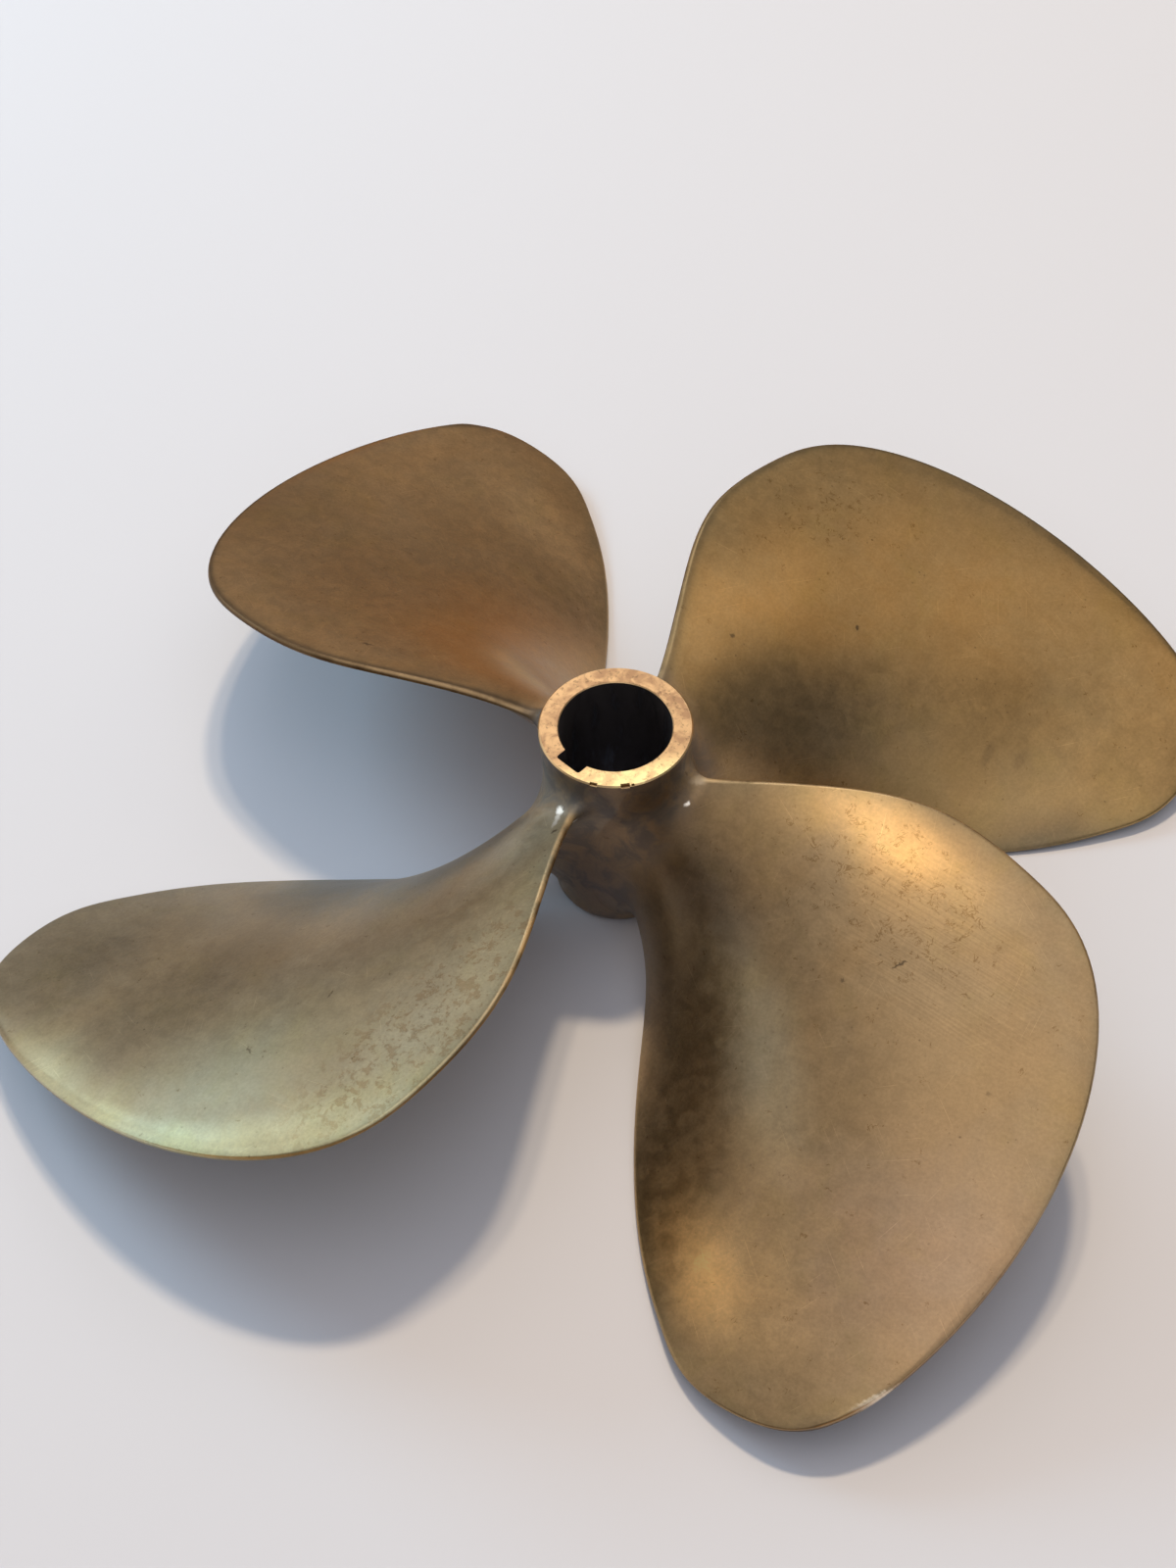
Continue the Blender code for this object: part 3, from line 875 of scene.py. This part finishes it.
def turned_bronze():
    """Forward face of the hub, turned bright, worn so that it leans outward, lightly tarnished, with a
    painted highlight on one side and bright edges that are partly burnish and partly painted highlight.
    """
    n = Nodes("turned_bronze")
    here = n.place()
    stain = n.noise(here, 7.0, 5.0, 0.65, 0.4)
    fleck = n.noise(here, 1.6, 3.0, 0.6)
    color = n.blend(n.span(stain, 0.40, 0.62), TURNED, TURNED_STAIN)
    color = n.blend(n.span(fleck, 0.54, 0.70, 0.0, 0.7), color, TURNED_FLECK)
    # Painted highlight on one side of the forward face
    lit_side = n.vector("DOT_PRODUCT", here, HIGHLIGHT_SIDE, output=1)
    lit_side = n.math("MULTIPLY_ADD", stain, 16.0, lit_side)
    color = n.tint(color, n.blend(n.span(lit_side, 22.0, 34.0), WHITE, SIDE_HIGHLIGHT_GAIN))
    reach = n.vector("LENGTH", n.vector("MULTIPLY", here, (1, 1, 0)), output=1)
    inner, outer = BORE_FORE_DIAMETER / 2 / MM, (HUB_FORE_DIAMETER / 2 - HUB_FORE_CHAMFER) / MM
    # Both edges of the face made brighter: partly burnish, partly painted highlight
    corner = n.math("MAXIMUM", n.span(reach, inner, inner + 0.5, 1.0, 0.0), n.span(reach, outer - 0.2, outer))
    color = n.blend(n.math("MULTIPLY", corner, n.span(stain, 0.35, 0.5, 0.3, 0.9)), color, POLISHED)
    groove = n.noise(n.put("ShaderNodeCombineXYZ", {0: reach}), 0.35, 2.0)
    roughness = n.span(stain, 0.35, 0.65, 0.28, 0.38)
    height = n.math("MULTIPLY", reach, -0.07)
    height = n.math("MULTIPLY_ADD", groove, 0.006, height)
    height = n.math("MULTIPLY_ADD", stain, 0.03, height)
    height = n.math("MULTIPLY_ADD", fleck, -0.008, height)
    return n.finish(color, roughness, n.bump(height))


def bored_bronze():
    """Tapered bore and keyway, blackened by grease and oxide."""
    n = Nodes("bored_bronze")
    here = n.place()
    streak = n.noise(n.vector("MULTIPLY", here, (1, 1, 0.25)), 6.0, 4.0, 0.6, 0.3)
    color = n.blend(n.span(streak, 0.5, 0.7), BORED, BORED_STREAK)
    roughness = n.span(streak, 0.4, 0.7, 0.5, 0.36)
    return n.finish(color, roughness, n.bump(n.math("MULTIPLY", streak, 0.04)))


def build_floor():
    """Plain pale floor. What the bronze mirrors of it turns darker and browner past the near part."""
    mesh = bpy.data.meshes.new("floor")
    reach = FLOOR_REACH
    mesh.from_pydata([(-reach, -reach, 0), (reach, -reach, 0), (reach, reach, 0), (-reach, reach, 0)],
                     [], [(0, 1, 2, 3)])
    floor = add_object("floor", mesh)
    floor.location.z = -FLOOR_GAP
    n = Nodes("pale_floor")
    across = n.put("ShaderNodeSeparateXYZ", {0: n.place()}, 1)
    near = n.span(n.math("ABSOLUTE", across), *FLOOR_NEAR, 1.0, 0.0)
    shown = n.put("ShaderNodeLightPath", {}, "Is Camera Ray")
    color = n.blend(n.math("MAXIMUM", near, shown), FLOOR_FAR_COLOR, FLOOR_COLOR)
    n.feed(n.shader.inputs["Base Color"], color)
    n.shader.inputs["Roughness"].default_value = 0.8
    n.shader.inputs["Specular IOR Level"].default_value = 0.2
    mesh.materials.append(n.material)


def camera_axes():
    """Right, up and back directions of the camera."""
    az, el = CAMERA_AZIMUTH, CAMERA_ELEVATION
    back = Vector((math.sin(az) * math.cos(el), -math.cos(az) * math.cos(el), math.sin(el)))
    level = Vector((math.cos(az), math.sin(az), 0))
    rise = back.cross(level)
    c, s = math.cos(CAMERA_ROLL), math.sin(CAMERA_ROLL)
    return c * level + s * rise, -s * level + c * rise, back


def build_camera():
    right, up, back = camera_axes()
    data = bpy.data.cameras.new("camera")
    data.sensor_fit = "AUTO"
    data.sensor_width = SENSOR
    data.lens = FOCAL_PIXELS / PHOTO_HEIGHT * SENSOR
    data.clip_start = 0.01
    camera = bpy.data.objects.new("camera", data)
    bpy.context.scene.collection.objects.link(camera)
    turn = Matrix((right, up, back)).transposed().to_4x4()
    camera.matrix_world = Matrix.Translation(CAMERA_AIM + back * CAMERA_DISTANCE) @ turn
    bpy.context.scene.camera = camera


def toward(zenith, turn):
    """Direction by its angle from straight up and its turn from the camera's right, in degrees."""
    zenith = math.radians(zenith)
    turn = math.radians(turn) + CAMERA_AZIMUTH
    return Vector((math.sin(zenith) * math.cos(turn), math.sin(zenith) * math.sin(turn), math.cos(zenith)))


def add_lamp(name, direction, width, distance, radiance, color, glossy):
    """Round lamp that is width degrees across, seen from the propeller."""
    data = bpy.data.lights.new(name, "AREA")
    data.shape = "DISK"
    data.size = 2 * distance * math.tan(math.radians(width / 2))
    data.color = color
    data.energy = radiance * (math.pi * data.size / 2) ** 2
    lamp = bpy.data.objects.new(name, data)
    bpy.context.scene.collection.objects.link(lamp)
    lamp.location = direction * distance
    lamp.rotation_euler = direction.to_track_quat("Z", "Y").to_euler()
    lamp.visible_glossy = glossy


def build_world():
    """Room light that fades from the studio's bright side to its dark side."""
    world = bpy.data.worlds.new("studio")
    world.use_nodes = True
    tree = world.node_tree
    background = tree.nodes["Background"]
    look = tree.nodes.new("ShaderNodeTexCoord")
    facing = tree.nodes.new("ShaderNodeVectorMath")
    facing.operation = "DOT_PRODUCT"
    facing.inputs[1].default_value = toward(*BRIGHT_SIDE)
    tree.links.new(look.outputs["Generated"], facing.inputs[0])
    share = tree.nodes.new("ShaderNodeMapRange")
    share.interpolation_type = "SMOOTHSTEP"
    share.inputs["From Min"].default_value, share.inputs["From Max"].default_value = BRIGHT_SPAN
    tree.links.new(facing.outputs["Value"], share.inputs["Value"])
    mix = tree.nodes.new("ShaderNodeMix")
    mix.data_type = "RGBA"
    tree.links.new(share.outputs["Result"], mix.inputs[0])
    mix.inputs[6].default_value = (*(ROOM_DARK * value for value in NEUTRAL), 1)
    mix.inputs[7].default_value = (*(ROOM_BRIGHT * value for value in NEUTRAL), 1)
    tree.links.new(mix.outputs[2], background.inputs["Color"])
    bpy.context.scene.world = world


def build_light():
    """Room light, softboxes that the bronze mirrors, and suns and a sky lamp that it doesn't."""
    build_world()
    for name, zenith, turn, width, radiance, color in SOFTBOXES:
        add_lamp(name, toward(zenith, turn), width, SOFTBOX_DISTANCE, radiance, color, True)
    for name, zenith, turn, width, radiance, color in SUNS:
        add_lamp(name, toward(zenith, turn), width, SUN_DISTANCE, radiance, color, False)
    name, zenith, turn, width, radiance, color = SKY
    add_lamp(name, toward(zenith, turn), width, SKY_DISTANCE, radiance, color, False)
    bpy.context.scene.view_settings.view_transform = "Standard"


build_propeller()
build_floor()
build_camera()
build_light()
